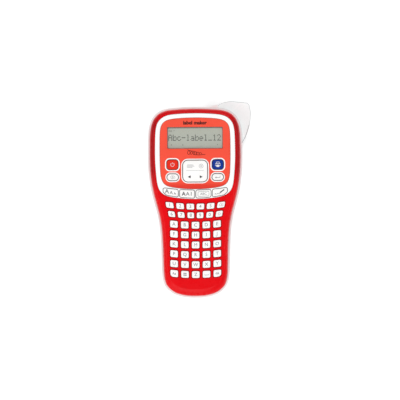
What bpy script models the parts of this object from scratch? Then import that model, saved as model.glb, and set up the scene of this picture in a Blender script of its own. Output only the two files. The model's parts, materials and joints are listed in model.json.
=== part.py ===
"""A hand-held label maker lying on its back: casings, keys, display, tape drive, cutter and battery bay.

+X is to the right of the person who reads the display, +Y points to the tape exit and +Z out of the front.
The origin is on the flat back, on the centre line. Every size and place below is in millimetres, and
solid() turns them into metres.
"""

import math

import bmesh
import bpy
from mathutils import Vector, geometry

MM = 0.001
WELD = 1e-6  # metres: points this close are one
GAP = 0.3  # between pieces that rest on each other
LOOP_STEPS = 3  # points on each span of a casing outline

# The front is part of a paraboloid: highest at CROWN_Y on the centre line, falling away in every direction.
FRONT_HEIGHT = 50.0
CROWN_Y = 45.0
CROWN = 0.0004

# Right halves of the outlines, from the tape end round to the grip end.
CASE_HALF = [
    (0, 98.6), (18, 98.0), (30, 96.7), (37.6, 93.6), (42.6, 88.6), (45.7, 82), (47.2, 73), (47.7, 60),
    (47.6, 40), (46.4, 25), (44.2, 12), (40.7, -1.7), (37.5, -14), (35.4, -28), (34.4, -44), (33.9, -60),
    (33.2, -77), (31.0, -86), (27, -91), (20.5, -95.3), (10.5, -97.9), (0, -98.5),
]
BEZEL_HALF = [
    (0, 93.8), (17, 93.2), (28, 91.9), (34.6, 89.1), (39.2, 84.0), (41.2, 77.0), (42.0, 64), (42.0, 44),
    (40.9, 28), (39.3, 17.5), (36.0, 11.1), (29.5, 7.0), (16, 4.6), (0, 3.7),
]
PANEL_HALF = [
    (0, 89.1), (15, 88.6), (25, 87.6), (31.5, 85.4), (35.2, 81), (36.6, 74), (37.0, 56), (36.7, 38),
    (35.7, 26.5), (33.0, 20.4), (28, 17.2), (15, 14.9), (0, 14.2),
]

# Casings.
WALL = 2.0
FRONT_FOOT = 25.0
EDGE_DROP = 6.0  # height of the front casing's rounded edge
EDGE_WIDTH = 4.3
END_EDGE_WIDTH = 7.0  # the rounded edge widens towards the grip end
RIM = 2.2  # the rear casing stands proud of the front one
REAR_TOP = 27.0
REAR_ROUND_HEIGHT = 15.0
REAR_ROUND_WIDTH = 6.0
COVER_EDGE = 5.8  # the cover's opening lies this far inside the front casing's outline
COVER_THICKNESS = 2.0
THUMB_GRIP_Y = 78.0

# Bezel, panel and display.
BEZEL_PROUD = 0.5
BEZEL_DEPTH = 2.6
PANEL_PROUD = 0.1
PANEL_DEPTH = 1.9
DISPLAY_Y = 68.0
DISPLAY_SIZE = (58.4, 22.8)
WINDOW_Z = (47.7, 48.7)
MODULE_SIZE = (66, 31)
MODULE_Z = (38.3, 46.6, 47.4)
BOARD_Z = (36.4, 38.0)
BOARD_HALF = [(36, 88), (41.3, 81), (41.3, 10), (32, 4), (32, -12), (29, -18), (28.5, -84)]

# Keys. Each slides down by one travel; its web or flange keeps it under the casing.
WEB_Z = (39.4, 40.4)
WEB_MARGIN = 0.8
KEY_PROUD = 1.6
BUTTON_PROUD = 1.2
KEY_CLEARANCE = 0.5
KEY_CORNER = 1.1
KEY_BEVEL = 0.5
KEY_ROWS = [  # name, centre line's y, key columns' x, key size, lean of the sides per mm of x
    ("digit_keys_upper", -4.4, (-27.0, -16.0, -5.3, 5.3, 16.0, 27.0), (8.2, 6.3), 0.006),
    ("digit_keys_lower", -13.6, (-25.0, -15.0, -4.9, 4.9, 15.0, 25.0), (7.2, 6.3), 0.0068),
]
LETTER_TOP = -24.0
LETTER_PITCH = 10.4
LETTER_COLUMNS = (-22.7, -11.35, 0.0, 11.35, 22.7)
LETTER_KEY = (8.2, 7.4)
KEY_ROWS += [(f"letter_keys_{n + 1}", LETTER_TOP - n * LETTER_PITCH, LETTER_COLUMNS, LETTER_KEY, 0.0) for n in range(6)]
ROW_BEND = 0.0024  # a row rises towards its ends by this much times x squared
BUTTONS = {  # name: centre, size, corner radius
    "power_key": ((-23.9, 39.8), (11.7, 10.1), 2.6),
    "print_key": ((23.9, 39.8), (11.7, 10.1), 2.6),
    "preview_key": ((-23.7, 26.6), (11.7, 6.8), 3.2),
    "enter_key": ((23.7, 26.6), (11.7, 6.8), 3.2),
}
PAD_CENTRE = (0.0, 33.0)
PAD_SIZE = (25.8, 22.5)
PAD_CORNER = 5.2
PAD_FLOOR = 45.4
PAD_PIVOT_Z = 46.0
CORE_SIZE = (10, 8)
CORE_Z = (38.9, 44.9)
STYLE_CENTRES = (-25.9, -8.6, 8.6, 25.9)
STYLE_WIDTH = 15.2
STYLE_CUT = 1.3

# Frame, drive and cutter.
CHASSIS_Z = (20.0, 21.5)
CHASSIS_END = -12.0
CHASSIS_INSET = 2.6
MODULE = 0.8  # of the gears
MOTOR = (33.0, 43.6)
REDUCTION = (29.4, 60.8)
PLATEN = (20.7, 70.2)
RIBBON = (7.9, 60.4)
MOTOR_TEETH = 10
WHEEL_TEETH = 34
SMALL_TEETH = 12
PLATEN_TEETH = 20
RIBBON_TEETH = 20
LOW_GEAR_Z = (22.0, 24.5)
HIGH_GEAR_Z = (24.8, 27.4)
TAPE_X = (15.15, 15.4)
TAPE_Y = (50.0, 86.4)
TAPE_Z = (4.5, 16.5)
CASSETTE_Z = (3.2, 19.6)
LEVER_PIVOT = (26.0, 91.0)
LEVER_Z = (8.5, 19.5)
HOLDER_X = (18.0, 24.0)
HOLDER_Y = (80.5, 86.5)
BLADE_X = (16.2, 23.0)
BLADE_Y = (86.8, 87.3)
BLADE_Z = (4.0, 18.5)
EXIT_X = (12.8, 18.4)
EXIT_Z = (3.4, 20.6)

# Battery bay.
CELL_RADIUS = 5.25
CELL_LENGTH = 43.7
CELL_PITCH = 10.9
CELL_FIRST_Y = -24.5
CELL_Z = 8.4
CONTACT_X = 23.4
BAY_SIZE = (50.8, 68.6)
BAY_Y = -51.9
BAY_CORNER = 2.5
BAY_WALL = 1.3
BAY_Z = (2.6, 14.1, 15.6)
BAY_FLANGE = (26.0, -17.1, -86.8, 15.5, -92.4)

UPPER_SCREWS = ((-35.3, -3.0), (35.3, -3.0))
LOWER_SCREWS = ((-10.0, -89.3), (10.0, -89.3))

FINISHES = {  # colour, roughness, metallic
    "red_shell": ((0.80, 0.005, 0.012), 0.28, 0.0),
    "white_shell": ((0.86, 0.86, 0.85), 0.35, 0.0),
    "coral_panel": ((0.87, 0.11, 0.07), 0.3, 0.0),
    "white_key": ((0.88, 0.88, 0.87), 0.4, 0.0),
    "red_key": ((0.80, 0.03, 0.02), 0.35, 0.0),
    "blue_key": ((0.01, 0.06, 0.35), 0.35, 0.0),
    "display_glass": ((0.36, 0.41, 0.36), 0.2, 0.0),
    "clear_window": ((0.9, 0.95, 0.92), 0.05, 0.0),
    "circuit_board": ((0.02, 0.22, 0.08), 0.5, 0.0),
    "dark_plastic": ((0.05, 0.05, 0.055), 0.5, 0.0),
    "grey_plastic": ((0.35, 0.36, 0.37), 0.45, 0.0),
    "nylon_gear": ((0.75, 0.74, 0.68), 0.45, 0.0),
    "steel": ((0.6, 0.6, 0.62), 0.3, 1.0),
    "aluminium": ((0.7, 0.71, 0.73), 0.4, 1.0),
    "black_rubber": ((0.03, 0.03, 0.03), 0.8, 0.0),
    "cell_jacket": ((0.12, 0.13, 0.15), 0.35, 0.3),
    "label_film": ((0.9, 0.9, 0.88), 0.3, 0.0),
}


def clear_scene():
    for old in list(bpy.data.objects):
        bpy.data.objects.remove(old, do_unlink=True)


def finish(name):
    """The material of that finish, made the first time it is asked for."""
    material = bpy.data.materials.get(name)
    if material is None:
        colour, roughness, metallic = FINISHES[name]
        material = bpy.data.materials.new(name)
        material.use_nodes = True
        shader = material.node_tree.nodes["Principled BSDF"]
        shader.inputs["Base Color"].default_value = (*colour, 1)
        shader.inputs["Roughness"].default_value = roughness
        shader.inputs["Metallic"].default_value = metallic
    return material


# Outlines: lists of (x, y), anticlockwise from above.


def area(loop):
    return sum(a[0] * b[1] - b[0] * a[1] for a, b in zip(loop, loop[1:] + loop[:1])) / 2


def anticlockwise(loop):
    return loop if area(loop) > 0 else loop[::-1]


def smooth_loop(knots, steps):
    """A closed curve through the knots: on each span a cubic whose end slopes lie along the neighbouring knots."""
    points = [Vector(k) for k in knots]
    count = len(points)
    made = []
    for i in range(count):
        before, start, end, after = (points[(i + k) % count] for k in (-1, 0, 1, 2))
        span = (end - start).length
        leave = (end - before) * span / ((start - before).length + span)
        arrive = (after - start) * span / (span + (after - end).length)
        for k in range(steps):
            t = k / steps
            place = (
                start * (2 * t**3 - 3 * t**2 + 1) + leave * (t**3 - 2 * t**2 + t)
                + end * (3 * t**2 - 2 * t**3) + arrive * (t**3 - t**2)
            )
            made.append((place.x, place.y))
    return anticlockwise(made)


def both_sides(half, steps):
    """A smooth closed outline from its right half, which starts and ends on the centre line."""
    return smooth_loop(half + [(-x, y) for x, y in half[-2:0:-1]], steps)


def inset(loop, distance):
    """The outline moved inwards by a distance, or by distance(x, y). A negative distance moves it outwards."""
    made = []
    for i, (x, y) in enumerate(loop):
        ahead, behind = loop[(i + 1) % len(loop)], loop[i - 1]
        along = Vector((ahead[0] - behind[0], ahead[1] - behind[1])).normalized()
        width = distance(x, y) if callable(distance) else distance
        made.append((x - along.y * width, y + along.x * width))
    return made


def circle(centre, radius, sides):
    turn = 2 * math.pi / sides
    return [
        (centre[0] + radius * math.cos(k * turn), centre[1] + radius * math.sin(k * turn)) for k in range(sides)
    ]


def rounded(centre, size, corner, steps=1, slope=0.0, lean=0.0):
    """A rectangle with round corners. Its sides lean by `lean` and its ends rise by `slope`."""
    half = (size[0] / 2 - corner, size[1] / 2 - corner)
    made = []
    for quarter, (sx, sy) in enumerate(((1, 1), (-1, 1), (-1, -1), (1, -1))):
        for k in range(steps + 1):
            angle = (quarter + k / steps) * math.pi / 2
            u = sx * half[0] + corner * math.cos(angle)
            v = sy * half[1] + corner * math.sin(angle)
            made.append((centre[0] + u + lean * v, centre[1] + v + slope * u))
    return made


def box_outline(x, y):
    return [(x[0], y[0]), (x[1], y[0]), (x[1], y[1]), (x[0], y[1])]


def inside(point, loop):
    """Whether the point lies in the outline, by counting the edges to its right."""
    crossings = 0
    for (ax, ay), (bx, by) in zip(loop, loop[1:] + loop[:1]):
        if (ay > point[1]) != (by > point[1]):
            crossings += point[0] < ax + (point[1] - ay) * (bx - ax) / (by - ay)
    return crossings % 2 == 1


def front_z(x, y):
    """Height of the front surface."""
    return FRONT_HEIGHT - CROWN * (x * x + (y - CROWN_Y) ** 2)


def front_plus(rise):
    return lambda x, y: front_z(x, y) + rise


def lift(loop, height):
    """The outline as points in space, at a height or at height(x, y)."""
    return [(x, y, height(x, y) if callable(height) else height) for x, y in loop]


class Skin:
    """Faces collected for one mesh. Faces that share places are joined when the mesh is made."""

    def __init__(self):
        self.points = []
        self.faces = []

    def band(self, lower, upper):
        """Quads from one closed row of points to the next."""
        first, count = len(self.points), len(lower)
        self.points += [*lower, *upper]
        for i in range(count):
            j = (i + 1) % count
            self.faces.append((first + i, first + j, first + count + j, first + count + i))

    def sheet(self, outline, holes, height, up=True):
        """Triangles over the outline, less its holes, at a height or at height(x, y)."""
        flat, edges = [], []
        for loop in (outline, *holes):
            first = len(flat)
            flat += [Vector(p) for p in loop]
            edges += [(first + i, first + (i + 1) % len(loop)) for i in range(len(loop))]
        spots, _, triangles, *_ = geometry.delaunay_2d_cdt(flat, edges, [], 0, 1e-5)
        first = len(self.points)
        self.points += lift([(s.x, s.y) for s in spots], height)
        for triangle in triangles:
            corners = [(spots[i].x, spots[i].y) for i in triangle]
            middle = (sum(c[0] for c in corners) / 3, sum(c[1] for c in corners) / 3)
            if not inside(middle, outline) or any(inside(middle, hole) for hole in holes):
                continue
            turn = 1 if (area(corners) > 0) == up else -1
            self.faces.append([first + i for i in triangle][::turn])


def solid(name, skin, finish_name, origin=(0, 0, 0), closed=True):
    """One object from a skin in millimetres, with its origin at `origin`."""
    mesh = bpy.data.meshes.new(name)
    mesh.from_pydata([(Vector(p) - Vector(origin)) * MM for p in skin.points], [], skin.faces)
    shape = bmesh.new()
    shape.from_mesh(mesh)
    bmesh.ops.remove_doubles(shape, verts=shape.verts, dist=WELD)
    bmesh.ops.delete(shape, geom=[v for v in shape.verts if not v.link_faces], context="VERTS")
    if closed:
        bmesh.ops.recalc_face_normals(shape, faces=shape.faces)
    shape.to_mesh(mesh)
    shape.free()
    mesh.materials.append(finish(finish_name))
    mesh.shade_smooth()
    mesh.set_sharp_from_angle(angle=math.radians(30))
    made = bpy.data.objects.new(name, mesh)
    made.location = Vector(origin) * MM
    bpy.context.scene.collection.objects.link(made)
    return made


def plate(name, outline, holes, bottom, top, finish_name, origin=(0, 0, 0)):
    """A flat or crowned plate with holes through it."""
    skin = Skin()
    skin.sheet(outline, holes, top)
    skin.sheet(outline, holes, bottom, up=False)
    for loop in (outline, *holes):
        skin.band(lift(loop, bottom), lift(loop, top))
    return solid(name, skin, finish_name, origin)


def stack(name, levels, finish_name, origin=(0, 0, 0), bore=None):
    """Prisms on each other: (outline, low, high) from the bottom up, each outline inside or around the next."""
    holes = [bore] if bore else []
    skin = Skin()
    skin.sheet(levels[0][0], holes, levels[0][1], up=False)
    for outline, low, high in levels:
        skin.band(lift(outline, low), lift(outline, high))
    for (lower, _, height), (upper, _, _) in zip(levels, levels[1:]):
        wide, narrow = (lower, upper) if area(lower) > area(upper) else (upper, lower)
        skin.sheet(wide, [narrow], height)
    skin.sheet(levels[-1][0], holes, levels[-1][2])
    if bore:
        skin.band(lift(bore, levels[0][1]), lift(bore, levels[-1][2]))
    return solid(name, skin, finish_name, origin)


def tool(name, skin, host, operation):
    """A helper solid that is cut from its host, or joined to it."""
    helper = solid(name, skin, "grey_plastic")
    helper.hide_render = True
    helper.display_type = "WIRE"
    step = host.modifiers.new(name, "BOOLEAN")
    step.operation = operation
    step.object = helper


def prism(outline, bottom, top):
    skin = Skin()
    skin.sheet(outline, [], top)
    skin.sheet(outline, [], bottom, up=False)
    skin.band(lift(outline, bottom), lift(outline, top))
    return skin


CASE = both_sides(CASE_HALF, LOOP_STEPS)
BEZEL = both_sides(BEZEL_HALF, LOOP_STEPS)
PANEL = both_sides(PANEL_HALF, LOOP_STEPS)


# Keys.


def row_keys(row):
    """The outlines of one row's keys, which follow the row's bend."""
    _, centre_y, columns, size, lean = row
    return [
        rounded((x, centre_y + ROW_BEND * x * x), size, KEY_CORNER, slope=2 * ROW_BEND * x, lean=lean * x)
        for x in columns
    ]


def row_web(row):
    """The outline of the rubber strip that joins one row's keys."""
    _, centre_y, columns, size, _ = row
    reach = columns[-1] + size[0] / 2 + WEB_MARGIN
    rise = size[1] / 2 + WEB_MARGIN
    stations = [reach * k / 3 for k in (-3, -2, -1, 0, 1, 2, 3)]
    lower = [(x, centre_y + ROW_BEND * x * x - rise) for x in stations]
    upper = [(x, centre_y + ROW_BEND * x * x + rise) for x in reversed(stations)]
    return lower + upper


def style_key(centre_x):
    """A key in the white strip, between the panel's lower edge and the bezel's, with its corners cut."""
    left, right = centre_x - STYLE_WIDTH / 2, centre_x + STYLE_WIDTH / 2
    outer = 4.0 if abs(centre_x) > STYLE_WIDTH else STYLE_CUT
    cut_left, cut_right = (outer, STYLE_CUT) if centre_x < 0 else (STYLE_CUT, outer)

    def low(x):
        return 4.7 + 0.0036 * x * x

    def high(x):
        return 12.9 + 0.0023 * x * x

    return [
        (left + cut_left, low(left + cut_left)), (centre_x, low(centre_x)), (right - cut_right, low(right - cut_right)),
        (right, low(right) + 0.7 * cut_right), (right, high(right) - STYLE_CUT),
        (right - STYLE_CUT, high(right - STYLE_CUT)), (centre_x, high(centre_x)),
        (left + STYLE_CUT, high(left + STYLE_CUT)), (left, high(left) - STYLE_CUT), (left, low(left) + 0.7 * cut_left),
    ]


def button(name, outline, finish_name, centre, proud):
    """A key with a flange below, a stem and a bevelled top that follows the front."""
    flange = inset(outline, -WEB_MARGIN)
    skin = Skin()
    skin.sheet(flange, [], WEB_Z[0], up=False)
    skin.band(lift(flange, WEB_Z[0]), lift(flange, WEB_Z[1]))
    skin.sheet(flange, [outline], WEB_Z[1])
    skin.band(lift(outline, WEB_Z[1]), lift(outline, front_plus(proud - KEY_BEVEL)))
    top = inset(outline, KEY_BEVEL)
    skin.band(lift(outline, front_plus(proud - KEY_BEVEL)), lift(top, front_plus(proud)))
    skin.sheet(top, [], front_plus(proud))
    return solid(name, skin, finish_name, origin=(*centre, WEB_Z[0]))


def key_row(row):
    """One row of rubber keys on its web."""
    web, keys = row_web(row), row_keys(row)
    skin = Skin()
    skin.sheet(web, [], WEB_Z[0], up=False)
    skin.band(lift(web, WEB_Z[0]), lift(web, WEB_Z[1]))
    skin.sheet(web, keys, WEB_Z[1])
    for key in keys:
        skin.band(lift(key, WEB_Z[1]), lift(key, front_plus(KEY_PROUD)))
        skin.sheet(key, [], front_plus(KEY_PROUD))
    return solid(row[0], skin, "white_key", origin=(0, row[1], WEB_Z[0]))


def button_outline(name):
    centre, size, corner = BUTTONS[name]
    return rounded(centre, size, corner, steps=2)


def pad_outline(margin=0.0):
    size = (PAD_SIZE[0] + 2 * margin, PAD_SIZE[1] + 2 * margin)
    return rounded(PAD_CENTRE, size, PAD_CORNER + margin, steps=3)


def keys():
    for row in KEY_ROWS:
        key_row(row)
    colours = {"power_key": "red_key", "print_key": "blue_key"}
    for name, (centre, _, _) in BUTTONS.items():
        button(name, button_outline(name), colours.get(name, "white_key"), centre, BUTTON_PROUD)
    for number, centre_x in enumerate(STYLE_CENTRES):
        button(f"style_key_{number + 1}", style_key(centre_x), "white_key", (centre_x, 9.0), BUTTON_PROUD)
    pad = pad_outline()
    top = inset(pad, KEY_BEVEL)
    skin = Skin()
    skin.sheet(pad, [], PAD_FLOOR, up=False)
    skin.band(lift(pad, PAD_FLOOR), lift(pad, front_plus(BUTTON_PROUD - KEY_BEVEL)))
    skin.band(lift(pad, front_plus(BUTTON_PROUD - KEY_BEVEL)), lift(top, front_plus(BUTTON_PROUD)))
    skin.sheet(top, [], front_plus(BUTTON_PROUD))
    solid("direction_pad", skin, "white_key", origin=(*PAD_CENTRE, PAD_PIVOT_Z))
    core = rounded(PAD_CENTRE, CORE_SIZE, 1.5)
    plate("pad_rocker_core", core, [], *CORE_Z, "dark_plastic", origin=(*PAD_CENTRE, PAD_PIVOT_Z))


# Casings.


def edge_width(x, y):
    """Width of the rounded edge, which grows past the last keys towards the grip end."""
    share = min(1.0, max(0.0, (-78.0 - y) / 14.0))
    return EDGE_WIDTH + (END_EDGE_WIDTH - EDGE_WIDTH) * share


def front_case():
    """The red shell: a side wall, a rounded edge and a crowned face with openings for the bezel and the keys."""
    skin = Skin()
    steps = 3
    rows = [lift(CASE, FRONT_FOOT)]
    for k in range(steps + 1):
        angle = math.pi / 2 * k / steps
        loop = inset(CASE, lambda x, y, a=angle: edge_width(x, y) * (1 - math.cos(a)))
        rows.append(lift(loop, front_plus(-EDGE_DROP * (1 - math.sin(angle)))))
    for lower, upper in zip(rows, rows[1:]):
        skin.band(lower, upper)
    holes = [inset(BEZEL, -GAP)]
    for row in KEY_ROWS:
        holes += [inset(key, -KEY_CLEARANCE) for key in row_keys(row)]
    skin.sheet([(x, y) for x, y, _ in rows[-1]], holes, front_z)
    shell = solid("front_case", skin, "red_shell", closed=False)
    wall = shell.modifiers.new("wall", "SOLIDIFY")
    wall.thickness = WALL * MM
    wall.offset = -1
    for number, centre in enumerate(UPPER_SCREWS + LOWER_SCREWS):
        foot = GAP + (CHASSIS_Z[1] if centre in UPPER_SCREWS else BAY_Z[2])
        tool(f"boss_{number}", prism(circle(centre, 2.6, 10), foot, front_z(*centre) - 1.3), shell, "UNION")
        tool(f"boss_bore_{number}", prism(circle(centre, 1.5, 8), foot - 1, foot + 13), shell, "DIFFERENCE")


def rear_case():
    """The white tub: its rim stands proud of the front casing, and its back is open for the cover."""
    rows = [lift(inset(CASE, -RIM), REAR_TOP)]
    steps = 3
    for k in range(steps + 1):
        angle = math.pi / 2 * k / steps
        loop = inset(CASE, -RIM + REAR_ROUND_WIDTH * (1 - math.cos(angle)))
        rows.append(lift(loop, REAR_ROUND_HEIGHT * (1 - math.sin(angle))))
    rows.append(lift(inset(CASE, COVER_EDGE), 0.0))
    skin = Skin()
    for upper, lower in zip(rows, rows[1:]):
        skin.band(lower, upper)
    shell = solid("rear_case", skin, "white_shell", closed=False)
    wall = shell.modifiers.new("wall", "SOLIDIFY")
    wall.thickness = (WALL - 0.1) * MM
    wall.offset = -1
    fairing = [(14.2, 99.3), (24.0, 98.8), (24.0, 103.0), (19.0, 101.7)]
    tool("exit_fairing", prism(fairing, LEVER_Z[1] + 1.4, REAR_TOP - 0.4), shell, "UNION")
    corner = [(23.0, 89), (38, 84), (41, 70), (42, 57), (75, 57), (75, 125), (23.0, 125)]
    tool("lever_opening", prism(corner, LEVER_Z[0] - 0.5, LEVER_Z[1] + 0.5), shell, "DIFFERENCE")
    tool("tape_exit", prism(box_outline(EXIT_X, (90, 110)), *EXIT_Z), shell, "DIFFERENCE")


def back_cover():
    """The cover over the tape and battery bays, with a ribbed thumb grip sunk into its outer face."""
    outline = inset(CASE, COVER_EDGE + 0.4)
    cover = plate("back_cover", outline, [], 0.0, COVER_THICKNESS, "white_shell")
    for k in range(5):
        groove = box_outline((-9, 9), (THUMB_GRIP_Y - 1.8 * k - 0.9, THUMB_GRIP_Y - 1.8 * k))
        tool(f"thumb_groove_{k}", prism(groove, -1.0, 0.7), cover, "DIFFERENCE")


def bezel_and_panel():
    keys_in_strip = [inset(style_key(x), -0.4) for x in STYLE_CENTRES]
    holes = [inset(PANEL, -GAP), *keys_in_strip]
    plate("bezel_ring", BEZEL, holes, front_plus(-BEZEL_DEPTH), front_plus(BEZEL_PROUD), "white_shell")
    window = rounded((0, DISPLAY_Y), DISPLAY_SIZE, 1.0)
    holes = [window, pad_outline(KEY_CLEARANCE)]
    holes += [inset(button_outline(name), -0.4) for name in BUTTONS]
    plate("face_panel", PANEL, holes, front_plus(-PANEL_DEPTH), front_plus(PANEL_PROUD), "coral_panel")
    plate("display_window", inset(window, GAP), [], *WINDOW_Z, "clear_window")


def electronics():
    centre = (0, DISPLAY_Y)
    low, shoulder, top = MODULE_Z
    glass = rounded(centre, (DISPLAY_SIZE[0] - 0.8, DISPLAY_SIZE[1] - 0.8), 0.8)
    frame = rounded(centre, MODULE_SIZE, 1.0)
    stack("lcd_module", [(frame, low, shoulder), (glass, shoulder, top)], "display_glass")
    board = anticlockwise(BOARD_HALF + [(-x, y) for x, y in reversed(BOARD_HALF)])
    plate("main_board", board, [], *BOARD_Z, "circuit_board")


# Tape drive.


def gear(centre, teeth, phase):
    """The outline of a spur gear with straight-flanked teeth, one of them centred on the angle `phase`."""
    radius = teeth * MODULE / 2
    tip, root = radius + 0.85 * MODULE, radius - 1.15 * MODULE
    pitch = 2 * math.pi / teeth
    made = []
    for k in range(teeth):
        for share, reach in ((-0.32, root), (-0.10, tip), (0.10, tip), (0.32, root)):
            angle = phase + (k + share) * pitch
            made.append((centre[0] + reach * math.cos(angle), centre[1] + reach * math.sin(angle)))
    return made


def meshed_phase(driver, teeth, phase, driven, driven_teeth):
    """The phase that puts a gap of the driven gear where the driver has a tooth."""
    towards = math.atan2(driven[1] - driver[1], driven[0] - driver[0])
    share = (towards - phase) * teeth / (2 * math.pi)
    return towards + math.pi - (0.5 - share) * 2 * math.pi / driven_teeth


def drive():
    wheel_phase = 0.0
    pinion_phase = meshed_phase(REDUCTION, WHEEL_TEETH, wheel_phase, MOTOR, MOTOR_TEETH)
    platen_phase = meshed_phase(REDUCTION, SMALL_TEETH, wheel_phase, PLATEN, PLATEN_TEETH)
    ribbon_phase = meshed_phase(PLATEN, PLATEN_TEETH, platen_phase, RIBBON, RIBBON_TEETH)

    small = gear(REDUCTION, SMALL_TEETH, wheel_phase)
    wheel = gear(REDUCTION, WHEEL_TEETH, wheel_phase)
    levels = [(small, LOW_GEAR_Z[0], HIGH_GEAR_Z[0]), (wheel, *HIGH_GEAR_Z)]
    stack("reduction_gear", levels, "nylon_gear", (*REDUCTION, 0), bore=circle(REDUCTION, 1.5, 12))
    plate("reduction_axle", circle(REDUCTION, 1.1, 12), [], CHASSIS_Z[1] + GAP, 28.0, "steel")

    pinion = gear(MOTOR, MOTOR_TEETH, pinion_phase)
    shaft = (circle(MOTOR, 1.0, 10), LOW_GEAR_Z[0] + 0.2, HIGH_GEAR_Z[0])
    stack("motor_pinion", [shaft, (pinion, *HIGH_GEAR_Z)], "nylon_gear", (*MOTOR, 0))
    can = circle(MOTOR, 10.0, 20)
    stack("drive_motor", [(can, 3.6, 19.6), (circle(MOTOR, 3.0, 12), 19.6, 21.8)], "steel")

    platen_gear = gear(PLATEN, PLATEN_TEETH, platen_phase)
    plate("platen_gear", platen_gear, [circle(PLATEN, 1.6, 12)], *LOW_GEAR_Z, "nylon_gear", (*PLATEN, 0))
    plate("platen_shaft", circle(PLATEN, 1.25, 12), [], 3.2, LOW_GEAR_Z[1] - 0.1, "steel", (*PLATEN, 0))
    roller = circle(PLATEN, 5.0, 24)
    plate("platen_roller", roller, [circle(PLATEN, 1.6, 12)], 4.0, 17.5, "black_rubber", (*PLATEN, 0))

    ribbon_gear = gear(RIBBON, RIBBON_TEETH, ribbon_phase)
    plate("ribbon_gear", ribbon_gear, [circle(RIBBON, 2.4, 12)], *LOW_GEAR_Z, "nylon_gear", (*RIBBON, 0))
    ribs, hollows = circle(RIBBON, 2.9, 12), circle(RIBBON, 2.35, 12)
    splines = [(ribs if k % 2 else hollows)[k] for k in range(12)]
    levels = [(splines, 4.6, 19.0), (circle(RIBBON, 2.0, 12), 19.0, LOW_GEAR_Z[1])]
    stack("ribbon_spindle", levels, "grey_plastic", (*RIBBON, 0))


def print_unit():
    """The heat sink and print head, the cassette that bends round them, and the tape that runs past them."""
    plate("heat_sink", box_outline((9.0, 13.0), (65.6, 76.2)), [], 3.6, CHASSIS_Z[0] - GAP, "aluminium")
    plate("print_head", box_outline((13.3, 14.85), (65.9, 75.0)), [], 4.2, 18.6, "dark_plastic")
    plate("label_tape", box_outline(TAPE_X, TAPE_Y), [], *TAPE_Z, "label_film")
    body = [
        (-34.5, 8), (10.5, 8), (14.5, 12), (14.5, 65), (8.4, 65), (8.4, 77), (14.5, 77), (14.5, 79.5), (12, 82),
        (-33.5, 82), (-38, 77.5), (-38, 11.5),
    ]
    ribbon_room = box_outline((3.4, 12.4), (56.0, 64.0))
    hub_bore = circle((-12, 38), 8.0, 16)
    plate("tape_cassette", body, [ribbon_room, hub_bore], *CASSETTE_Z, "grey_plastic")


def chassis():
    """The moulded plate between the tape bay and the board; gears and cutter hang on it."""
    outline = [(x, max(y, CHASSIS_END)) for x, y in inset(CASE, CHASSIS_INSET)]
    holes = [circle(p, 1.6, 10) for p in UPPER_SCREWS]
    holes += [circle(PLATEN, 1.7, 12), circle(RIBBON, 2.5, 12), circle(MOTOR, 3.4, 12), circle(LEVER_PIVOT, 1.8, 12)]
    plate("chassis", outline, holes, *CHASSIS_Z, "dark_plastic")


def cutter():
    """The thumb lever on its pin, with the blade that it pushes across the tape."""
    wing = [
        (24.3, 102.6), (29.1, 105.2), (37.6, 107.0), (50.2, 105.6), (55.6, 104.9), (57.8, 103.0), (59.4, 93.7),
        (58.7, 86), (57.6, 79.8), (53.8, 68.8), (49.9, 62.0),
    ]
    inner = [
        (46.6, 60.6), (44.2, 69.5), (40.6, 78.5), (35, 85), (30.6, 87), (28.2, 84.5), (27.2, 82.6), (24.5, 82.6),
        (24.5, 87.0), (22.2, 89.0), (22.1, 93.0), (23.6, 95.0),
    ]
    lever = anticlockwise(wing + inner)
    plate("cutter_lever", lever, [circle(LEVER_PIVOT, 1.8, 12)], *LEVER_Z, "white_shell", (*LEVER_PIVOT, 0))
    pin_top = CHASSIS_Z[1] + 0.5
    plate("lever_pin", circle(LEVER_PIVOT, 1.4, 12), [], 3.2, pin_top, "steel")
    plate("blade_holder", box_outline(HOLDER_X, HOLDER_Y), [], 3.8, 19.0, "grey_plastic")
    plate("cutter_blade", box_outline(BLADE_X, BLADE_Y), [], *BLADE_Z, "steel")
    lever_spring()


def lever_spring():
    """A torsion spring round the pin, under the lever's hub: a helix with its ends filled."""
    turns, radius, pitch, low = 3, 2.5, 1.15, 4.2
    curve = bpy.data.curves.new("lever_spring", "CURVE")
    curve.dimensions = "3D"
    curve.bevel_depth = 0.4 * MM
    curve.bevel_resolution = 0
    curve.use_fill_caps = True
    curve.materials.append(finish("steel"))
    spline = curve.splines.new("POLY")
    count = turns * 10 + 1
    spline.points.add(count - 1)
    for k in range(count):
        angle = 2 * math.pi * k / 10
        place = (radius * math.cos(angle), radius * math.sin(angle), low + pitch * k / 10)
        spline.points[k].co = (*(Vector(place) * MM), 1)
    spring = bpy.data.objects.new("lever_spring", curve)
    spring.location = Vector((*LEVER_PIVOT, 0)) * MM
    bpy.context.scene.collection.objects.link(spring)


# Battery bay.


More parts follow.
